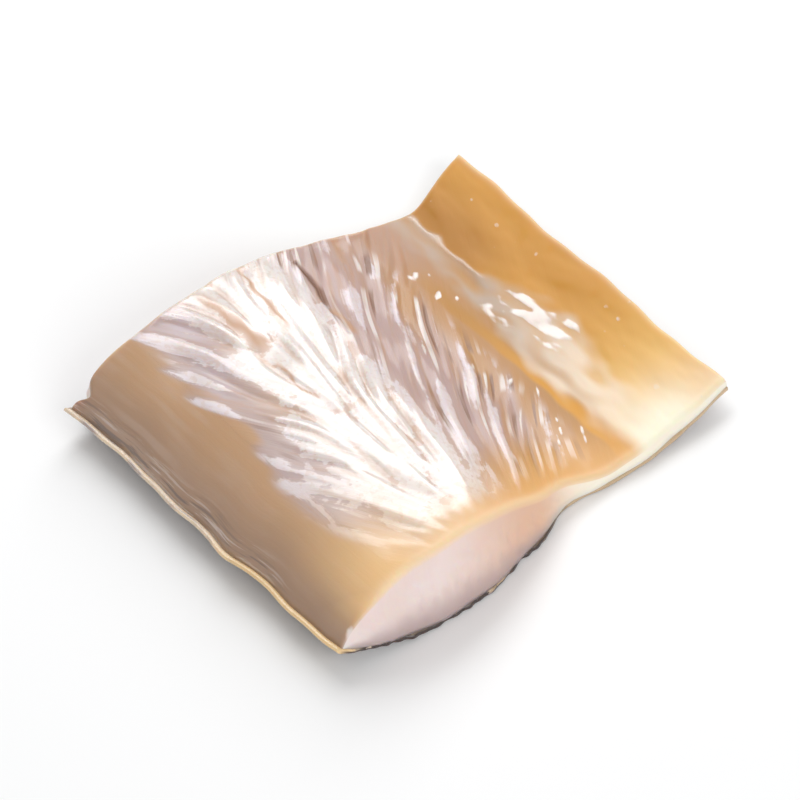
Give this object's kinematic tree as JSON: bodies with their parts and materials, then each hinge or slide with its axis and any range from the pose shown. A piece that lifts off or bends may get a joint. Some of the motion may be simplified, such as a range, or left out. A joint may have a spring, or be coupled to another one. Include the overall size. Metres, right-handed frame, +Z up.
{
  "type": "piece of eel jerky",
  "caption": "Block cut from a split, dried eel: a thick flaky back that slopes to a curled rim of skin, and a thin belly flap, lying skin side down.",
  "frame": {"origin": "centre of the bounding box in plan, at the lowest skin, on the surface the piece lies on", "axes": "+X across the fillet from the rim at the fish's back to its belly edge, +Y along the body from the front cut to the rear cut, +Z up from skin to flesh"},
  "size_m": [0.0792, 0.0668, 0.0154],
  "materials": {
    "flesh": "oily, slightly translucent dried fish flesh, tan to amber, with wet highlights",
    "skin": "dark grey-brown eel skin with silver sheen, wrinkled, glossy"
  },
  "bodies": {
    "root": {"eel_piece": "flesh"}
  },
  "joints": []
}
